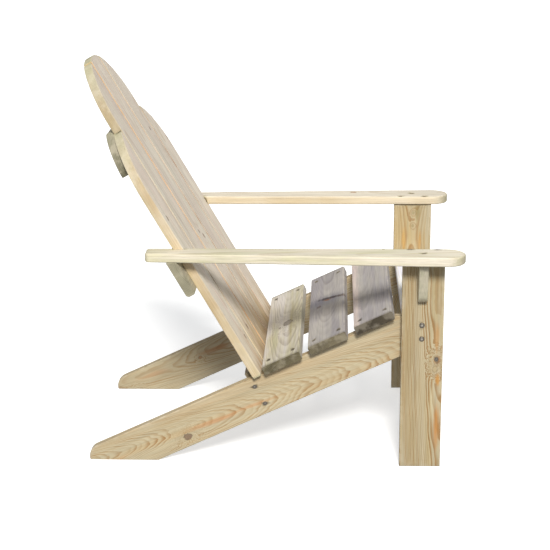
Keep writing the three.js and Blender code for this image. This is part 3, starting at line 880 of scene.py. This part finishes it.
def place_fastener(node, mesh, where, hardware):
    """Sets a finished fastener, turned about its own Z, in its place in the row frame."""
    reach = max(vert.co.xy.length for vert in mesh.vertices)
    # rim is the share of the head's radius; it sets where the painted shade round the rim falls.
    rim = mesh.attributes.new("rim", "FLOAT", "POINT")
    rim.data.foreach_set("value", [vert.co.xy.length / reach for vert in mesh.vertices])
    mesh.transform(where)
    mesh.materials.clear()
    # middle and edge are a head's painted highlight colour and painted shade colour.
    name, middle, edge = "plated_steel", hardware.steel_colour, hardware.rim_shade_colour
    if node.startswith("arm_screw"):
        name, middle, edge = "pale_steel", hardware.arm_steel_colour, hardware.arm_rim_colour
    mesh.materials.append(steel_material(name, tuple(middle), tuple(edge)))
    made = show(mesh, node + "_metal", SHARP_STEEL)
    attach(made, "root")
    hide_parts(node)


def seat_down():
    """Square into the sloping seat."""
    return -widest_face(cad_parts["seat_slat_4"].data, UP)


def nodes_like(*starts):
    return sorted(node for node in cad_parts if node.startswith(starts))


def inwards(node):
    return SITTERS_LEFT if "_right" in node else SITTERS_RIGHT


def screw_direction(node):
    if node.startswith("seat_screw_1") or node.startswith("arm_screw"):
        return -UP
    if node.startswith("seat_screw"):
        return seat_down()
    return inwards(node)


# ---- Operators


RIGHT_LEG = Figure(
    pith=(0.04, -0.05), tilt=(-0.04, 0.012), rings=0.66, wander=0.014, contrast=1.25,
    tone=0.97, stain=0xE4DABE, stain_share=0.6, side_share=0.2,
    knots=(
        Knot(0.0135, 0.034, 0.0062, (0.1, 0.15, 1), 0xB07A48, 0.15, 3.4),
        Knot(-0.009, 0.029, 0.0052, (0.1, 0.15, 1), 0xCBBE98, 0.12, 2.6),
    ),
    smears=(
        Smear(0.0135, 0.034, 0.012, 0.011, 0xBE7C48, 0.6),
        Smear(-0.034, 0.036, 0.02, 0.007, 0xC48E48, 0.9),
        Smear(-0.15, 0.036, 0.075, 0.009, 0xBB8448, 0.9),
        Smear(0.07, 0.034, 0.05, 0.008, 0xC09058, 0.6),
        Smear(-0.09, 0.026, 0.07, 0.008, 0xCFC3A0, 0.6),
    ),
)
LEFT_LEG = Figure(
    pith=(-0.002, -0.044), tilt=(0.01, -0.22), bow=0.6, rings=0.7, contrast=0.75,
    stain=0xF0DCAE, stain_share=0.6,
    knots=(
        Knot(0.231, 0.0, 0.003, heart=0xA9A47C, bark=0.2),
        Knot(0.197, -0.001, 0.0025, heart=0xA9A47C, bark=0.2),
    ),
    smears=(
        Smear(0.236, 0.012, 0.03, 0.012, 0x94875E, 0.6),
        Smear(0.16, 0.02, 0.04, 0.006, 0xC49448, 0.6),
        Smear(0.16, -0.022, 0.04, 0.008, 0xC8A058, 0.6),
    ),
)


class CHAIR_OT_front_legs(bpy.types.Operator):
    """Finish the two front legs"""

    bl_idname = "chair.front_legs"
    bl_label = "Front Legs"

    def execute(self, context):
        for side, figure in zip(SIDES, (RIGHT_LEG, LEFT_LEG)):
            finish_board(f"front_leg_{side}", "tan_pine", SITTERS_RIGHT, UP, figure)
        return {"FINISHED"}


RIGHT_STRINGER = Figure(
    pith=(0.018, -0.062), tilt=(0.012, -0.085), rings=0.52, wander=0.02, contrast=0.72,
    tone=1.03, stain=0xEEDCC4, knots=(Knot(-0.2, 0.033, 0.0075, heart=0x6E5A50, bark=0.5),),
    smears=(
        Smear(0.0, -0.032, 0.9, 0.016, 0xC9BB9E, 0.6),
        Smear(-0.13, 0.022, 0.09, 0.008, 0xC08A5C, 0.6),
        Smear(-0.02, 0.018, 0.07, 0.007, 0xC8966A, 0.5),
        Smear(-0.4, 0.028, 0.07, 0.008, 0xC0905E, 0.5),
    ),
)
LEFT_STRINGER = Figure(
    pith=(-0.006, -0.05), tilt=(0.0, 0.05), rings=0.65, wander=0.016, contrast=0.7,
    stain=0xE6DCD2,
    knots=(Knot(-0.395, 0.03, 0.006, bark=0.5), Knot(-0.2, 0.0, 0.004, heart=0x9A6B48)),
    smears=(
        Smear(-0.15, -0.005, 0.06, 0.009, 0xAC7848, 0.7),
        Smear(-0.33, 0.0, 0.07, 0.008, 0xC69A72, 0.5),
    ),
)


class CHAIR_OT_stringers(bpy.types.Operator):
    """Finish the two sloping side rails that end as rear feet"""

    bl_idname = "chair.stringers"
    bl_label = "Stringers"

    def execute(self, context):
        for side, figure in zip(SIDES, (RIGHT_STRINGER, LEFT_STRINGER)):
            finish_board(f"stringer_{side}", "tan_pine", SITTERS_RIGHT, None, figure)
        return {"FINISHED"}


class CHAIR_OT_front_rail(bpy.types.Operator):
    """Finish the rail between the front legs"""

    bl_idname = "chair.front_rail"
    bl_label = "Front Rail"

    def execute(self, context):
        figure = Figure(pith=(-0.015, -0.055), knots=(Knot(0.11, 0.012, 0.006),))
        finish_board("front_rail", "tan_pine", FRONT, SITTERS_LEFT, figure)
        return {"FINISHED"}


# The level front slat is made much paler (tone 1.85) as a painted highlight: the bright glare on
# its top.
LEVEL_SLAT = Figure(pith=(0.01, -0.07), rings=0.8, contrast=0.5, tone=1.85, stain=0xD8D4EE)
SECOND_SLAT = Figure(
    pith=(-0.02, -0.07), tilt=(0.0, 0.04), rings=0.8, contrast=0.5, stain=0xCFCEE0,
    stain_share=0.6, tone=1.12, end=0x463E31,
    smears=(Smear(0.0, -0.046, 3.0, 0.023, 0xE6D6CC, 1.0),),
)
THIRD_SLAT = Figure(
    pith=(0.0, -0.055), tilt=(0.0, 0.06), rings=0.8, contrast=0.6, tone=1.1,
    stain=0xC9C8D8, stain_share=0.7, end=0x6F6650,
    knots=(
        Knot(0.036, 0.009, 0.0052, (-0.48, 1.0, 0.25), 0x5C473C, 0.5),
        Knot(0.004, -0.024, 0.0055, (-0.2, 0.3, 1.0), 0x6F5F5A, 0.45),
    ),
    smears=(
        Smear(0.0, 0.042, 3.0, 0.013, 0xD2CCC2, 0.8),
        Smear(0.03, -0.004, 0.075, 0.05, 0x82828D, 0.6, 2.05),
        Smear(0.038, 0.009, 0.056, 0.012, 0x4A3D3A, 0.9, 2.05),
        Smear(0.03, 0.002, 0.016, 0.007, 0x9A6440, 0.8, 2.05),
    ),
)
REAR_SLAT = Figure(
    pith=(0.012, -0.06), tilt=(0.0, 0.05), rings=0.9, contrast=0.75, tone=1.5,
    stain=0xE2E0BE, stain_share=0.8, end=0x6C634A,
    knots=(
        Knot(-0.013, 0.01, 0.011, heart=0x7E7465, bark=0.6),
        Knot(-0.03, -0.012, 0.003, heart=0x7A6A55, bark=0.4),
    ),
    smears=(
        Smear(0.0, 0.02, 0.2, 0.008, 0xC0B48E, 0.6),
        Smear(-0.1, -0.02, 0.14, 0.01, 0xC2C09C, 0.6),
    ),
)


class CHAIR_OT_seat(bpy.types.Operator):
    """Finish the seat slats"""

    bl_idname = "chair.seat"
    bl_label = "Seat Slats"

    def execute(self, context):
        finish_board("seat_slat_1", "pale_pine", UP, SITTERS_LEFT, LEVEL_SLAT)
        for number, figure in zip((2, 3, 4), (SECOND_SLAT, THIRD_SLAT, REAR_SLAT)):
            finish_board(f"seat_slat_{number}", "grey_pine", UP, SITTERS_LEFT, figure)
        return {"FINISHED"}


BACK_KNOTS = (
    (Knot(0.141, -0.021, 0.0045), Knot(-0.2, 0.02, 0.004)),
    (Knot(-0.28, -0.01, 0.005),),
    (Knot(-0.045, -0.017, 0.004), Knot(-0.063, 0.003, 0.005)),
    (Knot(0.22, 0.015, 0.004),),
    (Knot(0.247, 0.034, 0.005), Knot(-0.1, -0.02, 0.004)),
)
BACK_PITHS = ((0.02, -0.07), (-0.03, -0.06), (0.0, -0.08), (0.03, -0.06), (-0.01, -0.07))
BACK_SIDES = (0xC2AE80, 0xBFAE84, 0xD99C38, 0xA57A44, 0xA37C4C)


class CHAIR_OT_back(bpy.types.Operator):
    """Finish the back slats"""

    bl_idname = "chair.back"
    bl_label = "Back Slats"

    def execute(self, context):
        choices = zip(BACK_KNOTS, BACK_PITHS, BACK_SIDES)
        for number, (found, pith, side) in enumerate(choices, start=1):
            figure = Figure(
                pith=pith, tilt=(0.0, 0.03 if number % 2 else -0.03), rings=0.8, contrast=0.5,
                tone=1.12, stain=0xEFE4E8, stain_share=0.6, side=side, side_share=1.0,
                end=0xADA988, end_rings=0.12, knots=found,
                smears=(
                    # Painted shade and light bounced from the seat: the lower end of each back slat
                    # turns tan and darker.
                    Smear(-0.52, 0.0, 0.4, 0.2, 0xBFA474, 0.95),
                    Smear(-0.3, 0.02, 0.16, 0.012, 0xC9A566, 0.5),
                    Smear(0.1, -0.02, 0.25, 0.01, 0xD6D2C0, 0.5),
                ),
            )
            finish_board(f"back_slat_{number}", "pale_pine", FRONT, None, figure)
        return {"FINISHED"}


class CHAIR_OT_back_rails(bpy.types.Operator):
    """Finish the three rails behind the back"""

    bl_idname = "chair.back_rails"
    bl_label = "Back Rails"

    def execute(self, context):
        for node, slot, pith, end in (
            ("back_rail_lower", "tan_pine", (0.0, -0.05), 0x80735A),
            ("back_rail_middle", "green_pine", (0.015, -0.06), 0x9E9880),
            ("back_rail_upper", "green_pine", (-0.02, -0.06), 0x6A6652),
        ):
            found = (Knot(0.06, 0.01, 0.005),)
            figure = Figure(pith=pith, contrast=0.7, end=end, end_rings=0.3, knots=found)
            finish_board(node, slot, REAR, SITTERS_LEFT, figure)
        return {"FINISHED"}


RIGHT_ARM = Figure(
    pith=(0.01, -0.08), contrast=0.4, tone=1.03, stain=0xE4EAD2,
    stain_share=0.8, side_share=0.1, end=0xB2AA86, end_rings=0.15,
)
LEFT_ARM = Figure(
    pith=(-0.01, -0.07), contrast=0.4, tone=1.02, stain=0xE6E4DC,
    side_share=0.6, end=0xB2AA86, end_rings=0.15,
    knots=(Knot(0.114, -0.012, 0.006, heart=0xB98A6A, bark=0.1),),
)


class CHAIR_OT_arms(bpy.types.Operator):
    """Finish the arms"""

    bl_idname = "chair.arms"
    bl_label = "Arms"

    def execute(self, context):
        for side, figure in zip(SIDES, (RIGHT_ARM, LEFT_ARM)):
            finish_board(f"arm_{side}", "pale_pine", UP, FRONT, figure)
        return {"FINISHED"}


class CHAIR_OT_brackets(bpy.types.Operator):
    """Finish the brackets under the arms"""

    bl_idname = "chair.brackets"
    bl_label = "Arm Brackets"

    def execute(self, context):
        # The brackets' lighter tone (1.15) is painted light: it lifts the shade on their sloping
        # outer faces and rear faces.
        figure = Figure(pith=(0.03, -0.05), rings=0.7, contrast=0.4, tone=1.15)
        for side in SIDES:
            finish_board(f"arm_bracket_{side}", "green_pine", FRONT, UP, figure)
        return {"FINISHED"}


class CHAIR_OT_screws(bpy.types.Operator):
    """Make the countersunk screws"""

    bl_idname = "chair.screws"
    bl_label = "Screws"

    def execute(self, context):
        hardware = context.scene.chair.hardware
        turns = random.Random(7)
        patterns = {}
        for node in nodes_like("seat_screw", "arm_screw", "front_rail_screw", "lower_rail_screw"):
            where, radius, length = fastener_place(node, screw_direction(node))
            key = round(length, 3)
            if key not in patterns:
                profile = screw_profile(radius, length, radius * SHANK_SHARE, SCREW_PITCH)
                cutter = cross_cutter(radius * DRIVE_SHARE, hardware.drive_width, DRIVE_DEPTH)
                body = turn_profile(profile, hardware.sides)
                patterns[key] = cut_away(body, cutter, "screw")
            spin = Matrix.Rotation(turns.uniform(0, math.pi), 4, "Z")
            place_fastener(node, patterns[key].copy(), where @ spin, hardware)
        for spare in patterns.values():
            bpy.data.meshes.remove(spare)
        return {"FINISHED"}


class CHAIR_OT_bolts(bpy.types.Operator):
    """Make the dome-headed bolts and their nuts"""

    bl_idname = "chair.bolts"
    bl_label = "Bolts and Nuts"

    def execute(self, context):
        hardware = context.scene.chair.hardware
        for node in nodes_like("leg_bolt"):
            where, radius, reach = fastener_place(node, inwards(node))
            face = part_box("front_leg_left")[1].x
            dome = abs(where.translation.x) - face
            pitch = hardware.thread_pitch
            profile = bolt_profile(radius, dome, reach - dome, BOLT_SHANK, pitch)
            seat = where @ Matrix.Translation((0, 0, -dome))
            mesh = to_mesh(turn_profile(profile, hardware.sides), node)
            place_fastener(node, mesh, seat, hardware)
        for node in nodes_like("leg_nut"):
            self.make_nut(node, hardware)
        return {"FINISHED"}

    def make_nut(self, node, hardware):
        """A six-sided nut with chamfered faces and a round bore."""
        low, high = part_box(node)
        height = high.x - low.x
        corner = min(high.y - low.y, high.z - low.z) / math.sqrt(3)
        bm = bmesh.new()
        rings = []
        for radius, level in (
            (NUT_BORE, 0.0), (corner * (1 - NUT_CHAMFER), 0.0), (corner, height * NUT_CHAMFER),
            (corner, height * (1 - NUT_CHAMFER)), (corner * (1 - NUT_CHAMFER), height),
            (NUT_BORE, height),
        ):
            ring = []
            for step in range(NUT_STEPS):
                angle = 2 * math.pi * step / NUT_STEPS
                reach = radius
                if radius != NUT_BORE:
                    from_flat = (angle % (math.pi / 3)) - math.pi / 6
                    reach *= math.cos(math.pi / 6) / math.cos(from_flat)
                spot = (reach * math.cos(angle), reach * math.sin(angle), level)
                ring.append(bm.verts.new(spot))
            rings.append(ring)
        for lower, upper in zip(rings, rings[1:] + rings[:1]):
            for step in range(NUT_STEPS):
                after = (step + 1) % NUT_STEPS
                bm.faces.new((lower[step], lower[after], upper[after], upper[step]))
        bmesh.ops.recalc_face_normals(bm, faces=bm.faces[:])
        mesh = to_mesh(bm, node)
        turn = Matrix.Rotation(math.pi / 2, 4, "Y")
        middle = (low + high) / 2
        where = Matrix.Translation((low.x, middle.y, middle.z)) @ turn
        place_fastener(node, mesh, where, hardware)


KEY_COLOUR = (1.0, 0.985, 0.95)
KEY_DISTANCE = 4.0
SKY_COLOUR = (0.96, 0.98, 1.0)
SENSOR_WIDTH = 36
NEAREST_SEEN = 0.05
FARTHEST_SEEN = 200


class CHAIR_OT_studio(bpy.types.Operator):
    """Make the floor, the light and the camera"""

    bl_idname = "chair.studio"
    bl_label = "Floor, Light and Camera"

    def execute(self, context):
        studio = context.scene.chair.studio
        self.make_floor(studio)
        self.make_light(studio)
        self.make_camera(studio)
        return {"FINISHED"}

    def make_floor(self, studio):
        half = studio.floor_size / 2
        mesh = bpy.data.meshes.new("floor")
        corners = [(-half, -half, 0), (half, -half, 0), (half, half, 0), (-half, half, 0)]
        mesh.from_pydata(corners, [], [(0, 1, 2, 3)])
        material = bpy.data.materials.new("pale_floor")
        material.use_nodes = True
        shader = material.node_tree.nodes["Principled BSDF"]
        shader.inputs["Base Color"].default_value = (*studio.floor_colour, 1)
        shader.inputs["Roughness"].default_value = 0.9
        shader.inputs["Specular IOR Level"].default_value = 0.1
        shader.inputs["Emission Color"].default_value = (*studio.floor_colour, 1)
        shader.inputs["Emission Strength"].default_value = studio.floor_glow
        mesh.materials.append(material)
        floor = new_object("floor", mesh)
        floor.visible_diffuse = False

    def make_light(self, studio):
        light = bpy.data.lights.new("key", "SUN")
        light.energy = studio.key_strength
        light.angle = studio.key_softness
        light.color = KEY_COLOUR
        key = new_object("key", light)
        height, turn = studio.key_height, studio.key_turn
        level = math.cos(height)
        source = Vector((-level * math.cos(turn), -level * math.sin(turn), math.sin(height)))
        key.rotation_mode = "QUATERNION"
        key.rotation_quaternion = source.to_track_quat("Z", "Y")
        key.location = source * KEY_DISTANCE
        world = bpy.data.worlds.new("studio")
        world.use_nodes = True
        background = world.node_tree.nodes["Background"]
        background.inputs["Color"].default_value = (*SKY_COLOUR, 1)
        background.inputs["Strength"].default_value = studio.fill_strength
        bpy.context.scene.world = world

    def make_camera(self, studio):
        data = bpy.data.cameras.new("camera")
        data.sensor_width = SENSOR_WIDTH
        data.lens = studio.camera_lens
        data.clip_start = NEAREST_SEEN
        data.clip_end = FARTHEST_SEEN
        camera = new_object("camera", data)
        turn, dip = studio.camera_turn, studio.camera_dip
        level = math.cos(dip)
        view = Vector((math.cos(turn) * level, math.sin(turn) * level, -math.sin(dip)))
        right = Vector((math.sin(turn), -math.cos(turn), 0))
        aim = Matrix((right, right.cross(view), -view)).transposed().to_4x4()
        roll = Matrix.Rotation(studio.camera_roll, 4, "Z")
        camera.matrix_world = Matrix.Translation(studio.camera_place) @ aim @ roll
        bpy.context.scene.camera = camera
        bpy.context.scene.view_settings.view_transform = "Standard"


STEPS = (
    CHAIR_OT_front_legs,
    CHAIR_OT_stringers,
    CHAIR_OT_front_rail,
    CHAIR_OT_seat,
    CHAIR_OT_back,
    CHAIR_OT_back_rails,
    CHAIR_OT_arms,
    CHAIR_OT_brackets,
    CHAIR_OT_screws,
    CHAIR_OT_bolts,
    CHAIR_OT_studio,
)


class CHAIR_PT_parts(bpy.types.Panel):
    """The chair's steps and settings"""

    bl_label = "Adirondack Chair"
    bl_idname = "CHAIR_PT_parts"
    bl_space_type = "VIEW_3D"
    bl_region_type = "UI"
    bl_category = "Chair"

    def draw(self, context):
        column = self.layout.column()
        for step in STEPS:
            column.operator(step.bl_idname)
        chair = context.scene.chair
        for settings in (chair.timber, chair.hardware, chair.studio):
            box = self.layout.box()
            for name in settings.__annotations__:
                box.prop(settings, name)


CLASSES = (
    ChairTimberSettings,
    ChairHardwareSettings,
    ChairStudioSettings,
    ChairSettings,
    *STEPS,
    CHAIR_PT_parts,
)


def register():
    for each in CLASSES:
        bpy.utils.register_class(each)
    bpy.types.Scene.chair = PointerProperty(type=ChairSettings)


def unregister():
    del bpy.types.Scene.chair
    for each in reversed(CLASSES):
        bpy.utils.unregister_class(each)


def main():
    register()
    for step in STEPS:
        group, name = step.bl_idname.split(".")
        getattr(getattr(bpy.ops, group), name)()
    bpy.context.view_layer.update()


if __name__ == "__main__":
    main()
